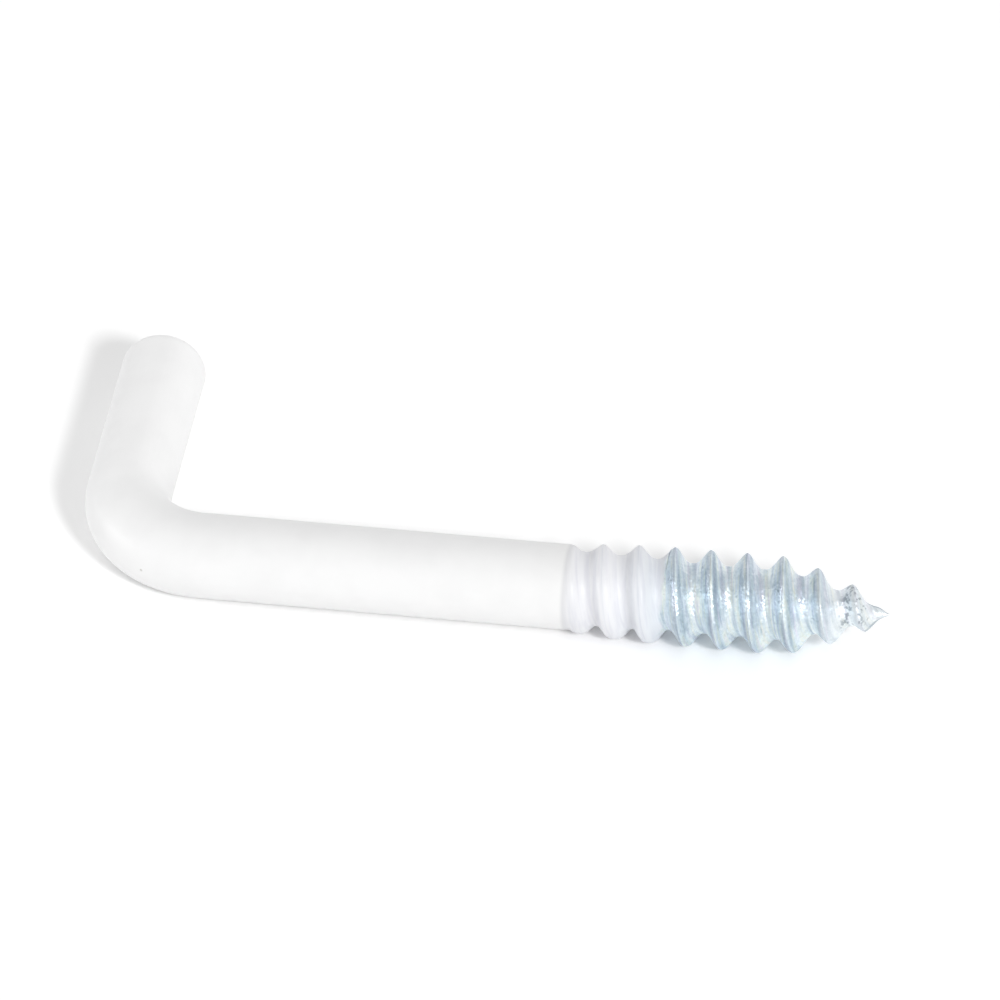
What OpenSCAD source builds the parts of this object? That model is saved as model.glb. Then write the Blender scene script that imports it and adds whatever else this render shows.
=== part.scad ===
// Square bend screw hook: a steel wire turned through a right angle, with a coarse
// gimlet-pointed wood thread, under a plastic coat that ends part way along the thread.
// Origin: on the screw's axis at the shoulder, where the hook meets the wall.
// +X runs into the wall towards the point, +Y runs along the arm, and Z is across both.

/* [Rod] */
// Diameter of the steel rod under the coat
steel_d = 4.7; // [3:0.1:8]
// Overall length, from the outer side of the arm to the point
overall_l = 50.2; // [46:0.1:80]
// Outer length of the arm, from the outer side of the shank to the end
arm_l = 21.3; // [16:0.1:40]
// Radius of the steel inside the bend
bend_inner_r = 3.05; // [0.6:0.05:4]
// Chamfer round the sheared end of the steel
end_chamfer = 0.4; // [0.2:0.05:0.7]

/* [Thread] */
// Length of the thread, from the shoulder to the point
thread_l = 20; // [14:0.1:28]
// Distance from one turn to the next
pitch = 2.2; // [1.8:0.01:3.2]
// How far the crest stands out from the rod
crest_rise = 0.64; // [0.3:0.01:1]
// Depth of the thread, from crest to root
thread_depth = 0.9; // [0.5:0.01:1.2]
// Width of the flat along the crest
crest_w = 0.14; // [0.08:0.01:0.3]
// Width of the ridge at its foot
ridge_w = 1.1; // [0.7:0.05:1.3]
// Width of the fillet that joins the ridge to the root
fillet_w = 0.2; // [0.05:0.01:0.25]
// Height of the steel's shoulder over the start of the ridge
shoulder_step = 0.1; // [0.04:0.01:0.2]
// Length over which the crest climbs from the shoulder to its full height
climb_l = 7; // [2:0.1:8]
// Length over which the root sinks from the shoulder to its full depth
sink_l = 1.4; // [0.5:0.1:3]
// Angle about the axis at which the ridge leaves the shoulder, from +Y towards +Z
start_angle = 42; // [0:1:359]
// Length of the tapered point
point_l = 6.3; // [3:0.1:8]

/* [Coat] */
// Thickness of the coat on the rod
coat_t = 0.25; // [0.15:0.01:0.5]
// Radius that the coat gives the rim of the arm's end
rim_r = 0.7; // [0.3:0.05:1.2]
// Length of thread that the coat covers
cover_l = 6.4; // [3:0.1:9]
// Length over which the coat thins out before it ends
fade_l = 1.2; // [0.5:0.1:2.5]
// Thickness of the coat along the crest
crest_coat_t = 0.08; // [0.05:0.01:0.2]
// Thickness of the coat in the root and up the flanks
root_coat_t = 0.12; // [0.06:0.01:0.25]
// Thickness left where the coat ends
edge_coat_t = 0.03; // [0.02:0.01:0.05]

/* [Hidden] */
$fn = 96;
TURN_STEPS = 36;
LEAD_TURNS = 2;
FULL_TURN = 360;
QUARTER_TURN = 90;
FOOT_HEIGHT = 0.12;
CREST_CLIMB = 0.55;
CREST_TAPER = 0.62;
ROOT_TAPER = 0.75;

steel_r = steel_d / 2;
coated_r = steel_r + coat_t;
bend_r = steel_r + bend_inner_r;
arm_x = thread_l + coated_r - overall_l;
steel_end_y = arm_l - coated_r - coat_t;
coat_end_y = arm_l - coated_r;
shoulder_r = steel_r - shoulder_step;
crest_r = steel_r + crest_rise;
root_r = crest_r - thread_depth;

// Where the ridge's outline changes slope, measured along the axis from the crest line
ridge_knots = [
    crest_w / 2,
    ridge_w / 2,
    ridge_w / 2 + fillet_w,
    pitch - ridge_w / 2 - fillet_w,
    pitch - ridge_w / 2,
    pitch - crest_w / 2
];
KNOTS = len(ridge_knots);

// Height of the ridge over one pitch, as a share of the thread's depth
ridge_heights = [
    [0, 1],
    [ridge_knots[0], 1],
    [ridge_knots[1], FOOT_HEIGHT],
    [ridge_knots[2], 0],
    [ridge_knots[3], 0],
    [ridge_knots[4], FOOT_HEIGHT],
    [ridge_knots[5], 1],
    [pitch, 1]
];

function clamp(value, low, high) = min(max(value, low), high);
function ramp(value, low, high) = clamp((value - low) / (high - low), 0, 1);

// Share of the thread's depth that stands at a place along and around the axis
function ridge_at(x, turn) =
    let (from_crest = x - turn * pitch)
    lookup(from_crest - floor(from_crest / pitch) * pitch, ridge_heights);

// What is left of a radius where the point tapers
function point_share(x, power) = pow(ramp(thread_l - x, 0, point_l), power);

// Crest and root both start at the shoulder's foot: the crest climbs and the root sinks
function crest_r_at(x) =
    let (climb = pow(ramp(x, 0, climb_l), CREST_CLIMB))
    (shoulder_r + (crest_r - shoulder_r) * climb) * point_share(x, CREST_TAPER);

function root_r_at(x) =
    (shoulder_r + (root_r - shoulder_r) * ramp(x, 0, sink_l)) * point_share(x, ROOT_TAPER);

function thread_r_at(x, turn) =
    root_r_at(x) + (crest_r_at(x) - root_r_at(x)) * ridge_at(x, turn);

// The coat is as thick as on the rod at the shoulder, thinner on the thread, and fades out
function coat_t_at(x, turn) =
    let (
        on_thread_t = root_coat_t + (crest_coat_t - root_coat_t) * ridge_at(x, turn),
        settled_t = coat_t + (on_thread_t - coat_t) * ramp(x, 0, sink_l)
    )
    edge_coat_t + (settled_t - edge_coat_t) * ramp(cover_l - x, 0, fade_l);

function coat_r_at(x, turn) = thread_r_at(x, turn) + coat_t_at(x, turn);

// A skin is a grid of points that winds round the axis with the thread: each column is a
// step of one turn, and its knots follow the ridge, held between the shoulder and x_to.
function knot_count(x_to) = KNOTS * (ceil(x_to / pitch) + LEAD_TURNS + 1);

function knot_x(k, turn, x_to) =
    let (along = (floor(k / KNOTS) - LEAD_TURNS + turn) * pitch + ridge_knots[k % KNOTS])
    clamp(along, 0, x_to);

function on_turn(x, turn, r) = [x, r * cos(FULL_TURN * turn), r * sin(FULL_TURN * turn)];

function thread_skin(x_to) = [
    for (j = [0:TURN_STEPS - 1])
        for (k = [0:knot_count(x_to) - 1])
            let (turn = j / TURN_STEPS, x = knot_x(k, turn, x_to))
            on_turn(x, turn, thread_r_at(x, turn))
];

function coat_skin(x_to) = [
    for (j = [0:TURN_STEPS - 1])
        for (k = [0:knot_count(x_to) - 1])
            let (turn = j / TURN_STEPS, x = knot_x(k, turn, x_to))
            on_turn(x, turn, coat_r_at(x, turn))
];

// Faces of a skin seen from outside. After the last column a row joins the row of the next
// turn. Where the ends hold knots together, the faces between them have no width and go.
function skin_cell(j, k, rows) =
    let (wraps = j == TURN_STEPS - 1, next = wraps ? k + KNOTS : (j + 1) * rows + k)
    [j * rows + k, j * rows + k + 1, next + 1, next];

function has_width(face, points) =
    points[face[0]] != points[face[1]]
    && points[face[1]] != points[face[2]]
    && points[face[2]] != points[face[0]];

function skin_faces(points, rows) = [
    for (j = [0:TURN_STEPS - 1])
        for (k = [0:rows - 2 - KNOTS * (j == TURN_STEPS - 1 ? 1 : 0)])
            let (cell = skin_cell(j, k, rows))
            for (face = [[cell[0], cell[1], cell[2]], [cell[0], cell[2], cell[3]]])
                if (has_width(face, points)) face
];

function backwards(faces) = [for (face = faces) [face[2], face[1], face[0]]];
function moved(faces, step) = [for (face = faces) [for (i = face) i + step]];

// Band of faces between two rings of points, seen from the shoulder's side
function band(outer, inner) = [
    for (j = [0:TURN_STEPS - 1])
        let (n = (j + 1) % TURN_STEPS)
        for (face = [[outer[j], outer[n], inner[n]], [outer[j], inner[n], inner[j]]]) face
];

// Rod along a quarter turn between the shank and the arm
module bend(outer_r, inner_r) {
    translate([arm_x + bend_r, bend_r, 0])
        rotate([0, 0, 2 * QUARTER_TURN])
            rotate_extrude(angle = QUARTER_TURN)
                translate([bend_r, 0])
                    difference() {
                        circle(r = outer_r);
                        if (inner_r > 0) circle(r = inner_r);
                    }
}

// Straight rod from the bend to the shoulder
module shank(r) {
    translate([arm_x + bend_r, 0, 0])
        rotate([0, QUARTER_TURN, 0])
            cylinder(r = r, h = -arm_x - bend_r);
}

// Turned form along the arm, from its outline of radius and height
module arm() {
    translate([arm_x, bend_r, 0])
        rotate([-QUARTER_TURN, 0, 0])
            rotate_extrude()
                children();
}

module steel_arm_outline() {
    h = steel_end_y - bend_r;
    polygon([
        [0, 0],
        [steel_r, 0],
        [steel_r, h - end_chamfer],
        [steel_r - end_chamfer, h],
        [0, h]
    ]);
}

module coat_arm_outline() {
    h = coat_end_y - bend_r;
    difference() {
        union() {
            square([coated_r, h - rim_r]);
            square([coated_r - rim_r, h]);
            translate([coated_r - rim_r, h - rim_r]) circle(r = rim_r);
        }
        steel_arm_outline();
    }
}

// Thread with its point: one winding skin, closed by a fan at the shoulder
module thread() {
    skin = thread_skin(thread_l);
    rows = knot_count(thread_l);
    middle = len(skin);
    fan = [
        for (j = [0:TURN_STEPS - 1])
            [j * rows, ((j + 1) % TURN_STEPS) * rows, middle]
    ];
    rotate([start_angle, 0, 0])
        polyhedron(points = concat(skin, [[0, 0, 0]]), faces = concat(skin_faces(skin, rows), fan));
}

// Coat over the first turns: its outer skin, the thread's own skin inside, and both ends
module sleeve() {
    outer = coat_skin(cover_l);
    inner = thread_skin(cover_l);
    rows = knot_count(cover_l);
    inner_from = len(outer);
    outer_start = [for (j = [0:TURN_STEPS - 1]) j * rows];
    outer_end = [for (i = outer_start) i + rows - 1];
    inner_start = [for (i = outer_start) i + inner_from];
    inner_end = [for (i = outer_end) i + inner_from];
    rotate([start_angle, 0, 0])
        polyhedron(
            points = concat(outer, inner),
            faces = concat(
                skin_faces(outer, rows),
                moved(backwards(skin_faces(inner, rows)), inner_from),
                band(outer_start, inner_start),
                backwards(band(outer_end, inner_end))
            )
        );
}

module steel_hook() {
    color("lightsteelblue") {
        arm() steel_arm_outline();
        bend(steel_r, 0);
        shank(steel_r);
        thread();
    }
}

module white_coat() {
    color("white") {
        arm() coat_arm_outline();
        bend(coated_r, steel_r);
        difference() {
            shank(coated_r);
            shank(steel_r);
        }
        sleeve();
    }
}

steel_hook();
white_coat();
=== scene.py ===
"""Square bend screw hook, dressed for a close look: zinc plated steel under a white plastic dip.

Metres, in the CAD frame: +X along the screw to its point, +Y along the arm, +Z across both.
"""
import math

import bpy
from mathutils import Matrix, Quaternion, Vector


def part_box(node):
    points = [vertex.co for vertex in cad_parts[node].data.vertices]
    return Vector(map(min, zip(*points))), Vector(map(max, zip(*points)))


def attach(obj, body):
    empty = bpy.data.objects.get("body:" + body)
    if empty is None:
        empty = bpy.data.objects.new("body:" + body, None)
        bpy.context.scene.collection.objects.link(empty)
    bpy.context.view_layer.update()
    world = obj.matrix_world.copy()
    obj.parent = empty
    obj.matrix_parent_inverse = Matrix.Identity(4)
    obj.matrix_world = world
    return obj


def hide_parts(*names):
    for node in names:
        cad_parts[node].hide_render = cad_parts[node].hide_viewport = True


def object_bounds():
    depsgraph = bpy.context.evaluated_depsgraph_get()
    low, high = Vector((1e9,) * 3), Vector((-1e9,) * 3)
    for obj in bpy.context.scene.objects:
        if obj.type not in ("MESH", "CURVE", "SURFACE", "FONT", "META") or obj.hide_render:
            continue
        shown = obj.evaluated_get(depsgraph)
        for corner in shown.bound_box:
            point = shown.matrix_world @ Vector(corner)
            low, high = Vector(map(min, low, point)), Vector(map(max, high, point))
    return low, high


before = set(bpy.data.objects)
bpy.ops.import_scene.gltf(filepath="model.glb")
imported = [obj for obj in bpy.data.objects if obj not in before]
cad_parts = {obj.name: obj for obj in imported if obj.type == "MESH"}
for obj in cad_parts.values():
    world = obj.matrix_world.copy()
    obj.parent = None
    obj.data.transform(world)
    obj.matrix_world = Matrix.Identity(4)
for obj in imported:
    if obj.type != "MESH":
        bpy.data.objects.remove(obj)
cad_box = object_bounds()
bpy.ops.object.select_all(action="DESELECT")


# ---- Steel hook --------------------------------------------------------------------------
# One length of mild steel wire. The thread is rolled between flat dies, which squeeze the
# root down and the crest up out of the same rod, and the screw's end is pinched to a gimlet
# point. The other end is sheared off and bent square, and the whole hook is zinc plated.

steel_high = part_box("steel_hook")[1]
coat_low, coat_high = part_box("white_coat")

ROD_R = 0.00235
COATED_R = 0.0026
BEND_R = 0.0054
END_CHAMFER = 0.0004
ARM_X = coat_low.x + COATED_R
THREAD_L = steel_high.x
PITCH = 0.0022
THREAD_DEPTH = 0.0009
SHOULDER_R = ROD_R - 0.0001
CREST_R = ROD_R + 0.00064
ROOT_R = CREST_R - THREAD_DEPTH
RIDGE_HALF_W = 0.00074
CREST_ROUND = 0.00028
FLANK_HOLLOW = 1.7
SEAM_AT = 0.00007
SEAM_HALF_W = 0.00003
SEAM_SHARE = 0.035
CLIMB_L = 0.007
CREST_CLIMB = 0.55
SINK_L = 0.0014
POINT_L = 0.0063
CREST_TAPER = 0.62
ROOT_TAPER = 0.85
POINT_BLUNT = 0.00004
RIDGE_GONE = 0.0003
RIDGE_FULL = 0.0014
OUTLINE_SHADE_ANGLE = math.radians(51)
START_ANGLE = math.radians(42)
TURN_STEPS = 96
RIDGE_CUTS = 27
RIDGE_CROWDING = 1.6
SPARE_TURNS = 2
BEND_STEPS = 28
SAME_PLACE = 1e-7
ON_CUT = 1e-8
SMOOTH_UP_TO = math.radians(40)


def ramp(value, low, high):
    """Share of the way from low to high, held between 0 and 1."""
    return min(max((value - low) / (high - low), 0), 1)


def ridge_height(from_crest):
    """Share of the thread's depth at a distance from the crest, with the crest's rolled seam."""
    rounded = math.hypot(from_crest, CREST_ROUND) - CREST_ROUND
    seam = SEAM_SHARE * math.exp(-(((from_crest - SEAM_AT) / SEAM_HALF_W) ** 2))
    return max(1 - rounded / RIDGE_HALF_W, 0) ** FLANK_HOLLOW - seam


def thread_radius(x, share, angle=0):
    """Radius of the rolled thread: the crest climbs and the root sinks from the shoulder."""
    left = ramp(THREAD_L - x, 0, POINT_L)
    climb = ramp(x, 0, CLIMB_L) ** CREST_CLIMB
    crest = (SHOULDER_R + (CREST_R - SHOULDER_R) * climb) * left**CREST_TAPER
    root = (SHOULDER_R + (ROOT_R - SHOULDER_R) * ramp(x, 0, SINK_L)) * left**ROOT_TAPER
    standing = ramp(THREAD_L - x, RIDGE_GONE, RIDGE_FULL)
    return root + (crest - root) * share * standing


def select_points(mesh, wanted):
    """Select only the points of a mesh in edit mode that pass a test of their place."""
    bpy.ops.mesh.select_all(action="DESELECT")
    bpy.ops.object.mode_set(mode="OBJECT")
    for point in mesh.vertices:
        point.select = wanted(point.co)
    bpy.ops.object.mode_set(mode="EDIT")


def select_ring(mesh, axis, place):
    """Select only the points of a mesh in edit mode that lie at one place along an axis."""
    select_points(mesh, lambda co: abs(co[axis] - place) < SAME_PLACE)


def wind_thread(name, length, radius_at):
    """Wind one ridge into a skin from the shoulder to a length, and press it to its radii."""
    bpy.ops.mesh.primitive_plane_add(size=PITCH)
    skin = bpy.context.object
    skin.name = name
    skin.data.name = name
    bpy.ops.object.mode_set(mode="EDIT")
    select_points(skin.data, lambda co: co.y > 0)
    bpy.ops.mesh.delete(type="VERT")
    bpy.ops.mesh.select_all(action="SELECT")
    bpy.ops.mesh.subdivide(number_cuts=RIDGE_CUTS)
    bpy.ops.object.mode_set(mode="OBJECT")
    for point in skin.data.vertices:
        along = 2 * point.co.x / PITCH
        from_crest = math.copysign(abs(along) ** RIDGE_CROWDING, along) * PITCH / 2
        radius = ROOT_R + THREAD_DEPTH * ridge_height(from_crest)
        point.co = (
            from_crest - PITCH,
            radius * math.cos(START_ANGLE),
            radius * math.sin(START_ANGLE),
        )
    screw = skin.modifiers.new("winding", "SCREW")
    screw.axis = "X"
    screw.angle = math.tau
    screw.screw_offset = PITCH
    screw.iterations = math.ceil(length / PITCH) + SPARE_TURNS
    screw.steps = TURN_STEPS
    screw.use_merge_vertices = True
    bpy.ops.object.modifier_apply(modifier=screw.name)
    bpy.ops.object.mode_set(mode="EDIT")
    bpy.ops.mesh.select_all(action="SELECT")
    bpy.ops.mesh.remove_doubles(threshold=SAME_PLACE)
    cut = {"plane_no": (1, 0, 0), "threshold": ON_CUT}
    bpy.ops.mesh.bisect(plane_co=(0, 0, 0), clear_inner=True, **cut)
    bpy.ops.mesh.select_all(action="SELECT")
    bpy.ops.mesh.bisect(plane_co=(length, 0, 0), clear_outer=True, **cut)
    bpy.ops.object.mode_set(mode="OBJECT")
    ridge = skin.data.attributes.new("ridge", "FLOAT", "POINT")
    for point in skin.data.vertices:
        radius = math.hypot(point.co.y, point.co.z)
        share = ramp(radius, ROOT_R, CREST_R)
        angle = math.atan2(point.co.z, point.co.y)
        pressed = radius_at(point.co.x, share, angle) / radius
        point.co.y *= pressed
        point.co.z *= pressed
        ridge.data[point.index].value = share
    return skin


def draw_rod(hook, shoulder_r, rod_r, end_y):
    """Draw the rod out of the thread's open ring: shank, square bend and straight arm."""
    bpy.ops.object.mode_set(mode="EDIT")
    select_ring(hook.data, 0, 0)
    step = rod_r / shoulder_r
    if step != 1:
        bpy.ops.mesh.extrude_edges_move()
        bpy.ops.transform.resize(value=(1, step, step), center_override=(0, 0, 0))
    shank_l = -ARM_X - BEND_R
    bpy.ops.mesh.extrude_edges_move(TRANSFORM_OT_translate={"value": (-shank_l, 0, 0)})
    bpy.ops.mesh.spin(
        steps=BEND_STEPS,
        angle=math.pi / 2,
        center=(ARM_X + BEND_R, BEND_R, 0),
        axis=(0, 0, 1),
    )
    bpy.ops.mesh.extrude_edges_move(TRANSFORM_OT_translate={"value": (0, end_y - BEND_R, 0)})
    bpy.ops.object.mode_set(mode="OBJECT")


def shear_end(hook):
    """Close the arm's end flat, with the chamfer that the shears leave round it."""
    bpy.ops.object.mode_set(mode="EDIT")
    select_ring(hook.data, 1, steel_high.y - END_CHAMFER)
    bpy.ops.mesh.extrude_edges_move(TRANSFORM_OT_translate={"value": (0, END_CHAMFER, 0)})
    narrow = 1 - END_CHAMFER / ROD_R
    bpy.ops.transform.resize(value=(narrow, 1, narrow), center_override=(ARM_X, steel_high.y, 0))
    bpy.ops.mesh.edge_face_add()
    bpy.ops.object.mode_set(mode="OBJECT")


steel = wind_thread("zinc_steel_hook", THREAD_L - POINT_BLUNT, thread_radius)
draw_rod(steel, SHOULDER_R, ROD_R, steel_high.y - END_CHAMFER)
shear_end(steel)
bpy.ops.object.mode_set(mode="EDIT")
select_ring(steel.data, 0, THREAD_L - POINT_BLUNT)
bpy.ops.mesh.extrude_edges_move(TRANSFORM_OT_translate={"value": (POINT_BLUNT, 0, 0)})
bpy.ops.mesh.merge(type="CENTER")
bpy.ops.mesh.select_all(action="SELECT")
bpy.ops.mesh.normals_make_consistent(inside=False)
bpy.ops.object.mode_set(mode="OBJECT")
bpy.ops.object.shade_smooth_by_angle(angle=SMOOTH_UP_TO)
bpy.ops.object.select_all(action="DESELECT")


def add_node(material, kind, settings=(), **inputs):
    """Add a node to a material, set its settings, and set or link its inputs by name."""
    node = material.node_tree.nodes.new("ShaderNode" + kind)
    for name, value in dict(settings).items():
        setattr(node, name, value)
    for name, value in inputs.items():
        socket = node.inputs[int(name[1:]) if name[1:].isdigit() else name.replace("_", " ")]
        if isinstance(value, bpy.types.NodeSocket):
            material.node_tree.links.new(value, socket)
        else:
            socket.default_value = value
    return node


def math_node(material, operation, *values):
    """Work out one number from others, each a socket or a number, and give the result."""
    inputs = {f"i{place}": value for place, value in enumerate(values)}
    return add_node(material, "Math", {"operation": operation}, **inputs).outputs[0]


def range_node(material, value, low, high, to_low=0.0, to_high=1.0):
    """Carry a number from one range over to another, held at both ends, and give the result."""
    ends = {"From_Min": low, "From_Max": high, "To_Min": to_low, "To_Max": to_high}
    return add_node(material, "MapRange", Value=value, **ends).outputs[0]


def ramp_node(material, factor, stops):
    """Add a colour ramp with its stops given as place and colour."""
    node = add_node(material, "ValToRGB", Fac=factor)
    band = node.color_ramp.elements
    while len(band) < len(stops):
        band.new(0.5)
    for element, (place, colour) in zip(band, stops):
        element.position = place
        element.color = (*colour, 1)
    return node.outputs["Color"]


def blend_node(material, blend_type, share, first, second):
    """Mix two colours, each a socket or a colour, and give the result."""
    colours = {"data_type": "RGBA", "blend_type": blend_type}
    return add_node(material, "Mix", colours, i0=share, i6=first, i7=second).outputs[2]


CRYSTALS_PER_M = 8500.0
CRYSTAL_SLANT = 0.38
CLOUDS_PER_M = 1100.0
SCABS_PER_M = 1700.0
LINES_SCALE = 1.7
LINES_DRIFT = 230.0
LINES_DEPTH = 0.00004
LINES_BUMP = 0.7
FILM_SCALE = 1.6
FILM_SHARE = 0.8
PAINTED_SPARKLE_SHARE = 0.4
STREAKS_SHARE = 0.55
POLISH_AND_SHADE_SHARE = 0.9
ZINC_ROUGH_LOW = 0.32
ZINC_ROUGH_HIGH = 0.62
POINT_FROM = 0.015
POINT_BRIGHT = (0.94, 0.955, 0.965, 1)


def zinc_surface(material):
    """Lay zinc on rolled steel: colour, roughness, normal, die lines and place from the crest."""
    # The rolling dies leave fine lines along the ridge. They are drawn in the ridge's own
    # place over one pitch, so they wind with it and join up all the way round.
    place = add_node(material, "TexCoord").outputs["Object"]
    axes = add_node(material, "SeparateXYZ", Vector=place)
    angle = math_node(material, "ARCTAN2", axes.outputs["Z"], axes.outputs["Y"])
    along = math_node(material, "MULTIPLY", axes.outputs["X"], math.tau / PITCH)
    phase = math_node(material, "SUBTRACT", along, angle)
    across = add_node(
        material,
        "CombineXYZ",
        X=math_node(material, "COSINE", phase),
        Y=math_node(material, "SINE", phase),
    ).outputs[0]
    drift = add_node(
        material, "VectorMath", {"operation": "SCALE"}, i0=place, Scale=LINES_DRIFT
    ).outputs[0]
    rolled = add_node(
        material, "VectorMath", {"operation": "ADD"}, i0=across, i1=drift
    ).outputs[0]
    die_lines = add_node(
        material, "TexNoise", Vector=rolled, Scale=LINES_SCALE, Detail=2.0, Roughness=0.55
    ).outputs["Fac"]

    # The dies polish the crest and the root and leave a dull seam beside each of them. The bands
    # over the ridge are partly painted shade too: they darken and lighten the flanks band by band.
    turns = math_node(material, "MULTIPLY_ADD", phase, 1 / math.tau, START_ANGLE / math.tau)
    from_crest = math_node(material, "FRACT", turns)
    polish_and_shade = ramp_node(
        material,
        from_crest,
        [
            (0.000, (0.88, 0.90, 0.91)),
            (0.035, (0.82, 0.86, 0.88)),
            (0.080, (0.66, 0.72, 0.76)),
            (0.125, (0.69, 0.75, 0.78)),
            (0.180, (0.94, 0.96, 0.97)),
            (0.240, (1.00, 1.00, 1.00)),
            (0.330, (0.94, 0.94, 0.93)),
            (0.440, (0.92, 0.93, 0.92)),
            (0.500, (0.77, 0.81, 0.82)),
            (0.560, (0.68, 0.73, 0.76)),
            (0.610, (0.96, 0.97, 0.98)),
            (0.690, (1.00, 1.00, 1.00)),
            (0.760, (0.86, 0.90, 0.93)),
            (0.850, (0.65, 0.70, 0.74)),
            (0.920, (0.60, 0.63, 0.66)),
        ],
    )

    # Zinc grows as small crystals, each with its own slant, and takes a thin film whose tint
    # wanders from blue to green, straw and lilac. Each crystal is also painted lighter or darker:
    # a painted glint, for the light that its slant would catch.
    crystals = add_node(material, "TexVoronoi", Vector=place, Scale=CRYSTALS_PER_M).outputs["Color"]
    crystal_marks = add_node(material, "SeparateColor", Color=crystals)
    slant = add_node(
        material, "VectorMath", {"operation": "SUBTRACT"}, i0=crystals, i1=(0.5, 0.5, 0.5)
    ).outputs[0]
    slanted = add_node(
        material,
        "VectorMath",
        {"operation": "MULTIPLY_ADD"},
        i0=slant,
        i1=(CRYSTAL_SLANT,) * 3,
        i2=add_node(material, "NewGeometry").outputs["Normal"],
    ).outputs[0]
    facets = add_node(material, "VectorMath", {"operation": "NORMALIZE"}, i0=slanted).outputs[0]
    normal = add_node(
        material,
        "Bump",
        Strength=LINES_BUMP,
        Distance=LINES_DEPTH,
        Height=die_lines,
        Normal=facets,
    ).outputs[0]
    clouds = add_node(
        material, "TexNoise", Vector=place, Scale=CLOUDS_PER_M, Detail=4.0, Roughness=0.7
    )
    plate = ramp_node(
        material,
        clouds.outputs["Fac"],
        [(0.3, (0.82, 0.86, 0.89)), (0.5, (0.90, 0.93, 0.95)), (0.7, (0.97, 0.98, 0.99))],
    )
    film = add_node(material, "TexNoise", Vector=rolled, Scale=FILM_SCALE, Detail=2.0)
    film_tint = ramp_node(
        material,
        film.outputs["Fac"],
        [
            (0.30, (0.95, 0.92, 1.00)),
            (0.44, (0.90, 0.95, 1.00)),
            (0.55, (0.92, 0.98, 0.99)),
            (0.64, (0.99, 1.00, 0.90)),
            (0.74, (1.00, 0.94, 0.99)),
        ],
    )
    painted_sparkle = ramp_node(
        material,
        crystal_marks.outputs["Green"],
        [(0.0, (0.80, 0.83, 0.86)), (0.6, (1.0, 1.0, 1.0))],
    )
    streaks = ramp_node(material, die_lines, [(0.37, (0.56, 0.62, 0.68)), (0.53, (1.0, 1.0, 1.0))])
    colour = blend_node(material, "MULTIPLY", FILM_SHARE, plate, film_tint)
    colour = blend_node(material, "MULTIPLY", PAINTED_SPARKLE_SHARE, colour, painted_sparkle)
    colour = blend_node(material, "MULTIPLY", STREAKS_SHARE, colour, streaks)
    colour = blend_node(material, "MULTIPLY", POLISH_AND_SHADE_SHARE, colour, polish_and_shade)

    # The point is pinched off bright, with dark scabs round its last crest. Its bright colour is
    # partly a painted highlight, for the broad glint on the tip. Two dark lines along opposite
    # sides of the tip are painted shade at its outline.
    near_tip = range_node(material, axes.outputs["X"], POINT_FROM, THREAD_L)
    pinch_and_highlight = ramp_node(material, near_tip, [(0.08, (0, 0, 0)), (0.34, (0.45, 0.45, 0.45))])
    colour = blend_node(material, "MIX", pinch_and_highlight, colour, POINT_BRIGHT)
    scab = add_node(
        material, "TexNoise", Vector=place, Scale=SCABS_PER_M, Detail=2.5, Roughness=0.65
    )
    scabbed = ramp_node(
        material, scab.outputs["Fac"], [(0.54, (1.0, 1.0, 1.0)), (0.62, (0.48, 0.51, 0.54))]
    )
    scabs_at = ramp_node(
        material,
        near_tip,
        [(0.38, (0, 0, 0)), (0.46, (1, 1, 1)), (0.68, (1, 1, 1)), (0.80, (0.25, 0.25, 0.25))],
    )
    colour = blend_node(material, "MULTIPLY", scabs_at, colour, scabbed)
    # Painted shade: two dark lines along the tip's outline, on opposite sides.
    from_outline_shade = math_node(material, "SUBTRACT", angle, OUTLINE_SHADE_ANGLE)
    to_side = math_node(material, "COSINE", from_outline_shade)
    to_outline = math_node(material, "ABSOLUTE", to_side)
    painted_outline_shade = ramp_node(material, to_outline, [(0.90, (1, 1, 1)), (0.97, (0.62, 0.66, 0.69))])
    outline_shade_at = ramp_node(material, near_tip, [(0.58, (0, 0, 0)), (0.68, (1, 1, 1))])
    colour = blend_node(material, "MULTIPLY", outline_shade_at, colour, painted_outline_shade)
    roughness = range_node(
        material, crystal_marks.outputs["Red"], 0, 1, ZINC_ROUGH_LOW, ZINC_ROUGH_HIGH
    )
    return colour, roughness, normal, die_lines, from_crest


zinc = bpy.data.materials.new("bright_zinc_plate")
zinc.use_nodes = True
zinc_shader = zinc.node_tree.nodes["Principled BSDF"]
zinc_shader.inputs["Metallic"].default_value = 1
zinc_colour, zinc_roughness, zinc_normal = zinc_surface(zinc)[:3]
zinc.node_tree.links.new(zinc_colour, zinc_shader.inputs["Base Color"])
zinc.node_tree.links.new(zinc_roughness, zinc_shader.inputs["Roughness"])
zinc.node_tree.links.new(zinc_normal, zinc_shader.inputs["Normal"])
steel.data.materials.append(zinc)
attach(steel, "root")
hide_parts("steel_hook")


# ---- White coat --------------------------------------------------------------------------
# A skin of smooth white plastic. The bent hook is hung by its point and dipped, so the coat
# is full on the rod, thin on the first turns of the thread, and runs out to nothing there.
# It wraps the sheared end, whose rim it rounds.

COVER_L = 0.0064
FADE_L = 0.0012
CREST_COAT_T = 0.00007
CREST_SAG_T = 0.00016
FLANK_SAG_T = 0.00026
SAG_FROM = 0.0016
SAG_TO = 0.0048
SAG_ANGLE = math.radians(231)
ROOT_COAT_T = 0.00012
EDGE_COAT_T = 0.00003
RIM_R = 0.0011
RIM_STEPS = 12
END_FLAT = 0.8
NECK_FROM = 0.00025
NECK_TO = 0.001


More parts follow.
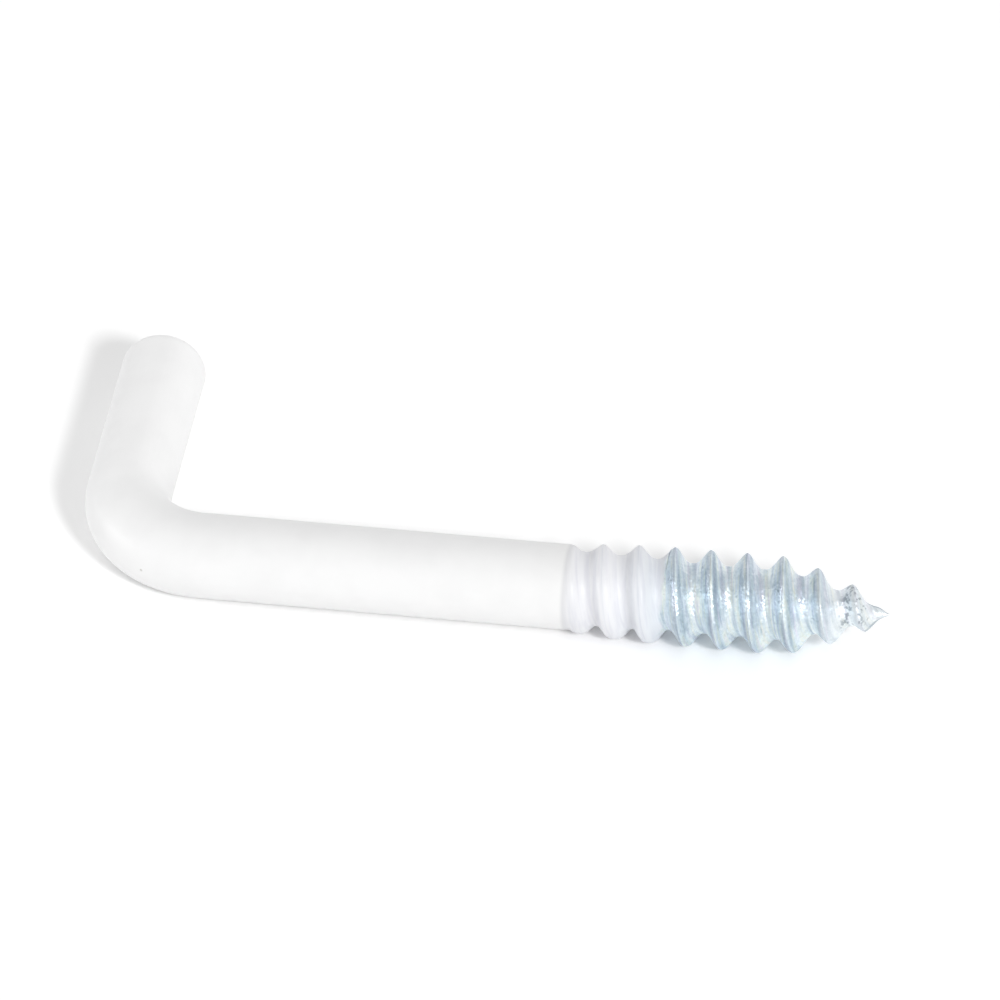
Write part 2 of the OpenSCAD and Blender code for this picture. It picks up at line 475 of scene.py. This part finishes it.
def coat_radius(x, share, angle):
    """Radius of the coat over the thread: it rounds the ridge and thins out to its end."""
    sag = (1 + math.cos(angle - SAG_ANGLE)) / 2
    on_crest = CREST_SAG_T * ramp(SAG_TO - x, 0, SAG_TO - SAG_FROM) * (1 + sag) / 2
    crest_t = CREST_COAT_T + on_crest
    stands = (thread_radius(x, 1) - thread_radius(x, 0)) / THREAD_DEPTH
    on_flank = FLANK_SAG_T * 4 * share * (1 - share) * stands * sag
    settled = ROOT_COAT_T + (crest_t - ROOT_COAT_T) * share + on_flank
    thickness = EDGE_COAT_T + (settled - EDGE_COAT_T) * ramp(COVER_L - x, 0, FADE_L)
    past_neck = ramp(x, NECK_FROM, NECK_TO)
    past_neck = past_neck**2 * (3 - 2 * past_neck)
    return COATED_R + (thread_radius(x, share) + thickness - COATED_R) * past_neck


coat = wind_thread("white_plastic_coat", COVER_L, coat_radius)
draw_rod(coat, COATED_R, COATED_R, coat_high.y - RIM_R)
bpy.ops.object.mode_set(mode="EDIT")
select_ring(coat.data, 1, coat_high.y - RIM_R)
outline = [(COATED_R, 0)]
for step in range(1, RIM_STEPS + 1):
    turned = step / RIM_STEPS * math.pi / 2
    outline.append((COATED_R - RIM_R * (1 - math.cos(turned)), RIM_R * math.sin(turned)))
outline.append(((COATED_R - RIM_R) * END_FLAT, RIM_R))
for (wide, low), (narrow, high) in zip(outline, outline[1:]):
    bpy.ops.mesh.extrude_edges_move(TRANSFORM_OT_translate={"value": (0, high - low, 0)})
    drawn_in = narrow / wide
    bpy.ops.transform.resize(
        value=(drawn_in, 1, drawn_in), center_override=(ARM_X, coat_high.y, 0)
    )
bpy.ops.mesh.extrude_edges_move()
bpy.ops.mesh.merge(type="CENTER")

select_ring(coat.data, 0, COVER_L)
bpy.ops.mesh.extrude_edges_move()
bpy.ops.object.mode_set(mode="OBJECT")
for point in coat.data.vertices:
    if point.select:
        radius = thread_radius(COVER_L, coat.data.attributes["ridge"].data[point.index].value)
        turned_in = radius / math.hypot(point.co.y, point.co.z)
        point.co.y *= turned_in
        point.co.z *= turned_in
bpy.ops.object.select_all(action="DESELECT")

lining = wind_thread("coat_lining", COVER_L, thread_radius)
draw_rod(lining, SHOULDER_R, ROD_R, steel_high.y - END_CHAMFER)
shear_end(lining)
coat.select_set(True)
bpy.context.view_layer.objects.active = coat
bpy.ops.object.join()
bpy.ops.object.mode_set(mode="EDIT")
bpy.ops.mesh.select_all(action="SELECT")
bpy.ops.mesh.remove_doubles(threshold=SAME_PLACE)
bpy.ops.mesh.normals_make_consistent(inside=False)
bpy.ops.object.mode_set(mode="OBJECT")
bpy.ops.object.shade_smooth_by_angle(angle=SMOOTH_UP_TO)
bpy.ops.object.select_all(action="DESELECT")

THREAD_WHITE = (0.85, 0.855, 0.875, 1)
CREST_WHITE = (0.825, 0.835, 0.865, 1)
CREST_LINE_FROM = 0.7
CREST_LINE_SHARE = 0.6
LINES_SHOW = 0.7
SEAMS_AND_SHADE_SHOW = 0.65
THINNED_FROM = 0.0008
SHANK_WHITE = (0.868, 0.868, 0.868, 1)
ARM_WHITE = (0.945, 0.945, 0.945, 1)
ARM_LIGHT_FROM = 0.0215
ARM_LIGHT_TO = 0.033
NECK_SHADE_L = 0.001
SHADES_PER_M = 420.0
SHADE_LOW = 0.3
SHADE_HIGH = 0.7
DUST_GREY = (0.66, 0.65, 0.63, 1)
DUST_PER_M = 330.0
DUST_FROM = 0.8
DUST_REACH = 0.05
RAGS_PER_M = 900.0
EDGE_RAGGED = 0.0009
BARE_FROM = 0.0066
BARE_TO = 0.00685
RIPPLES_PER_M = 260.0
RIPPLE_DEPTH = 0.00005
RIPPLE_BUMP = 0.5
TRACE_DEPTH = 0.00003
TRACE_BUMP = 0.25
COAT_ROUGH_LOW = 0.34
COAT_ROUGH_HIGH = 0.44

plastic = bpy.data.materials.new("glossy_white_plastic")
plastic.use_nodes = True
plastic_shader = plastic.node_tree.nodes["Principled BSDF"]
bare_colour, bare_roughness, bare_normal, lines_below, from_crest = zinc_surface(plastic)
coat_place = add_node(plastic, "TexCoord").outputs["Object"]
coat_axes = add_node(plastic, "SeparateXYZ", Vector=coat_place)
reach = coat_axes.outputs["X"]

# The coat is full on the rod. The arm is painted whiter than the shank, as painted light that
# evens the arm's shading with the shank's. On the thread it is thin enough for the zinc to cool
# its white, most of all along the crests, and at its end it breaks off in an uneven line.
on_thread = range_node(plastic, reach, NECK_FROM, NECK_TO)
standing = add_node(plastic, "Attribute", {"attribute_name": "ridge"}).outputs["Fac"]
crest_line = range_node(plastic, standing, CREST_LINE_FROM, 1, to_high=CREST_LINE_SHARE)
thread_white = blend_node(plastic, "MIX", crest_line, THREAD_WHITE, CREST_WHITE)
thinned = ramp_node(
    plastic,
    range_node(plastic, reach, THINNED_FROM, COVER_L),
    [
        (0.05, (0.94, 0.94, 0.945)),
        (0.25, (1.0, 1.0, 1.0)),
        (0.40, (1.0, 1.0, 1.0)),
        (1.0, (0.90, 0.93, 0.955)),
    ],
)
thread_white = blend_node(plastic, "MULTIPLY", 1.0, thread_white, thinned)
faint_lines = ramp_node(plastic, lines_below, [(0.38, (0.90, 0.90, 0.93)), (0.55, (1.0, 1.0, 1.0))])
thread_white = blend_node(plastic, "MULTIPLY", LINES_SHOW, thread_white, faint_lines)
# Bands over the coated ridges: faint seams, and painted shade that darkens and lightens the flanks.
seams_and_painted_shade = ramp_node(
    plastic,
    from_crest,
    [
        (0.020, (1.00, 1.00, 1.00)),
        (0.420, (1.00, 1.00, 1.00)),
        (0.550, (0.91, 0.91, 0.93)),
        (0.590, (0.94, 0.94, 0.96)),
        (0.640, (1.00, 1.00, 1.00)),
        (0.700, (0.93, 0.93, 0.95)),
        (0.790, (0.87, 0.88, 0.91)),
        (0.840, (0.92, 0.93, 0.95)),
        (0.890, (1.00, 1.00, 1.00)),
        (0.940, (0.98, 0.98, 0.99)),
        (0.970, (0.90, 0.91, 0.93)),
    ],
)
thread_white = blend_node(plastic, "MULTIPLY", SEAMS_AND_SHADE_SHOW, thread_white, seams_and_painted_shade)
along_rod = math_node(plastic, "SUBTRACT", coat_axes.outputs["Y"], reach)
painted_arm_light = range_node(plastic, along_rod, ARM_LIGHT_FROM, ARM_LIGHT_TO)
rod_white = blend_node(plastic, "MIX", painted_arm_light, SHANK_WHITE, ARM_WHITE)
white = blend_node(plastic, "MIX", on_thread, rod_white, thread_white)
# Painted shade: a grey band round the coat's neck just past the shoulder, in the groove there.
painted_neck_shade = ramp_node(
    plastic,
    range_node(plastic, reach, 0, NECK_SHADE_L),
    [
        (0.15, (1.0, 1.0, 1.0)),
        (0.36, (0.86, 0.86, 0.87)),
        (0.46, (0.89, 0.89, 0.90)),
        (0.70, (1.0, 1.0, 1.0)),
    ],
)
white = blend_node(plastic, "MULTIPLY", 1.0, white, painted_neck_shade)
shade = add_node(
    plastic, "TexNoise", Vector=coat_place, Scale=SHADES_PER_M, Detail=3.0
).outputs["Fac"]
clean = ramp_node(plastic, shade, [(0.35, (0.975, 0.975, 0.975)), (0.6, (1.0, 1.0, 1.0))])
white = blend_node(plastic, "MULTIPLY", 1.0, white, clean)
dust = add_node(plastic, "TexVoronoi", Vector=coat_place, Scale=DUST_PER_M)
dust_size = add_node(plastic, "SeparateColor", Color=dust.outputs["Color"]).outputs["Blue"]
dust_reach = range_node(plastic, dust_size, DUST_FROM, 1, to_high=DUST_REACH)
dust_mark = math_node(plastic, "LESS_THAN", dust.outputs["Distance"], dust_reach)
white = blend_node(plastic, "MIX", dust_mark, white, DUST_GREY)
rags = add_node(plastic, "TexNoise", Vector=coat_place, Scale=RAGS_PER_M, Detail=3.0)
edge_place = math_node(plastic, "MULTIPLY_ADD", rags.outputs["Fac"], EDGE_RAGGED, reach)
bare = range_node(plastic, edge_place, BARE_FROM, BARE_TO)
coat_colour = blend_node(plastic, "MIX", bare, white, bare_colour)

# The dip dries to a soft gloss, with long ripples and a trace of the thread's die lines.
ripple = add_node(plastic, "TexNoise", Vector=coat_place, Scale=RIPPLES_PER_M, Detail=1.0)
ripples = add_node(
    plastic,
    "Bump",
    Strength=RIPPLE_BUMP,
    Distance=RIPPLE_DEPTH,
    Height=ripple.outputs["Fac"],
).outputs[0]
coat_normal = add_node(
    plastic,
    "Bump",
    Strength=TRACE_BUMP,
    Distance=TRACE_DEPTH,
    Height=math_node(plastic, "MULTIPLY", lines_below, on_thread),
    Normal=ripples,
).outputs[0]
normals = add_node(
    plastic, "Mix", {"data_type": "VECTOR"}, i0=bare, i4=coat_normal, i5=bare_normal
)
gloss = range_node(plastic, shade, SHADE_LOW, SHADE_HIGH, COAT_ROUGH_LOW, COAT_ROUGH_HIGH)
roughness = add_node(
    plastic, "Mix", {"data_type": "FLOAT"}, i0=bare, i2=gloss, i3=bare_roughness
)
plastic_links = plastic.node_tree.links
plastic_links.new(coat_colour, plastic_shader.inputs["Base Color"])
plastic_links.new(roughness.outputs[0], plastic_shader.inputs["Roughness"])
plastic_links.new(bare, plastic_shader.inputs["Metallic"])
plastic_links.new(normals.outputs[1], plastic_shader.inputs["Normal"])
coat.data.materials.append(plastic)
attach(coat, "root")
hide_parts("white_coat")


# ---- Table -------------------------------------------------------------------------------
# A white table top. The hook lies on the crests of its thread and on its arm, so the table
# leans a little to the hook's own axes.

FLOOR_SIZE = 4
TOUCH_X = CLIMB_L
TABLE_LIT = (0.98, 0.98, 0.98, 1)
TABLE_SEEN = (1.15, 1.15, 1.15, 1)


def seen_plainly(backdrop):
    """Share of the rays that see a backdrop as the camera does: straight, or in metal or glass."""
    rays = add_node(backdrop, "LightPath")
    share = rays.outputs["Is Camera Ray"]
    for kind in ("Is Glossy Ray", "Is Transmission Ray"):
        share = math_node(backdrop, "MAXIMUM", share, rays.outputs[kind])
    return share


bpy.ops.mesh.primitive_plane_add(size=FLOOR_SIZE)
table = bpy.context.object
table.name = "table"
lean = math.atan2(CREST_R - COATED_R, TOUCH_X - ARM_X)
table.rotation_euler = (0, lean, 0)
table.location = (ARM_X, 0, -COATED_R)
table_white = bpy.data.materials.new("table_white")
table_white.use_nodes = True
table_shader = table_white.node_tree.nodes["Principled BSDF"]
table_shader.inputs["Roughness"].default_value = 1
table_shader.inputs["Specular IOR Level"].default_value = 0
table_colour = blend_node(
    table_white, "MIX", seen_plainly(table_white), TABLE_LIT, TABLE_SEEN
)
table_white.node_tree.links.new(table_colour, table_shader.inputs["Base Color"])
table.data.materials.append(table_white)


# ---- Light and camera --------------------------------------------------------------------
# A white tent all round, dimmer overhead. The main lamp stands to the right of the camera, and
# two weak lamps near the table's level light the left side and the far side. The far one isn't
# reflected, because it would speckle the upper side of the zinc.

TENT_LIT = 0.612
TENT_SEEN_LOW = 1
TENT_SEEN_OVERHEAD = 0.79
TENT_FALL_FROM = 0.2
TENT_FALL_TO = 0.8
LAMP_DISTANCE = 2.0
CAMERA_AWAY = Vector((0.1379, -0.8000, 0.6370))
CAMERA_ROLL = math.radians(-1.17)
CAMERA_LENS = 610
SEEN_FROM = 0.05
SEEN_TO = 20

world = bpy.data.worlds.new("tent")
bpy.context.scene.world = world
world.use_nodes = True
tent = world.node_tree.nodes["Background"]
tent.inputs["Color"].default_value = (1, 1, 1, 1)
tent_way = add_node(world, "TexCoord").outputs["Generated"]
tent_axes = add_node(world, "SeparateXYZ", Vector=tent_way)
tent_seen = range_node(
    world,
    tent_axes.outputs["Z"],
    TENT_FALL_FROM,
    TENT_FALL_TO,
    TENT_SEEN_LOW,
    TENT_SEEN_OVERHEAD,
)
tent_level = add_node(
    world, "Mix", {"data_type": "FLOAT"}, i0=seen_plainly(world), i2=TENT_LIT, i3=tent_seen
)
world.node_tree.links.new(tent_level.outputs[0], tent.inputs["Strength"])


def soft_lamp(name, width, height, strength, azimuth, elevation, glints=True):
    """A soft box that faces the hook, and that the hook reflects only if it glints."""
    lamp = bpy.data.lights.new(name, "AREA")
    lamp.shape = "RECTANGLE"
    lamp.size = width
    lamp.size_y = height
    lamp.energy = strength
    box = bpy.data.objects.new(name, lamp)
    bpy.context.scene.collection.objects.link(box)
    azimuth = math.radians(azimuth)
    elevation = math.radians(elevation)
    level = math.cos(elevation)
    away = Vector((level * math.cos(azimuth), level * math.sin(azimuth), math.sin(elevation)))
    box.location = away * LAMP_DISTANCE
    box.rotation_euler = away.to_track_quat("Z", "Y").to_euler()
    box.visible_glossy = glints


soft_lamp("key_lamp", width=0.28, height=0.28, strength=18.7, azimuth=-55, elevation=34.5)
soft_lamp("left_lamp", width=1.2, height=0.25, strength=7.2, azimuth=-170, elevation=6)
soft_lamp("far_lamp", width=1.6, height=0.3, strength=4.6, azimuth=92, elevation=10, glints=False)

camera = bpy.data.objects.new("camera", bpy.data.cameras.new("camera"))
bpy.context.scene.collection.objects.link(camera)
box_low, box_high = cad_box
aim = (box_low + box_high) / 2
camera.location = aim + CAMERA_AWAY
faced = CAMERA_AWAY.to_track_quat("Z", "Y") @ Quaternion((0, 0, 1), CAMERA_ROLL)
camera.rotation_euler = faced.to_euler()
camera.data.lens = CAMERA_LENS
camera.data.clip_start = SEEN_FROM
camera.data.clip_end = SEEN_TO
bpy.context.scene.camera = camera
bpy.context.scene.view_settings.view_transform = "Standard"
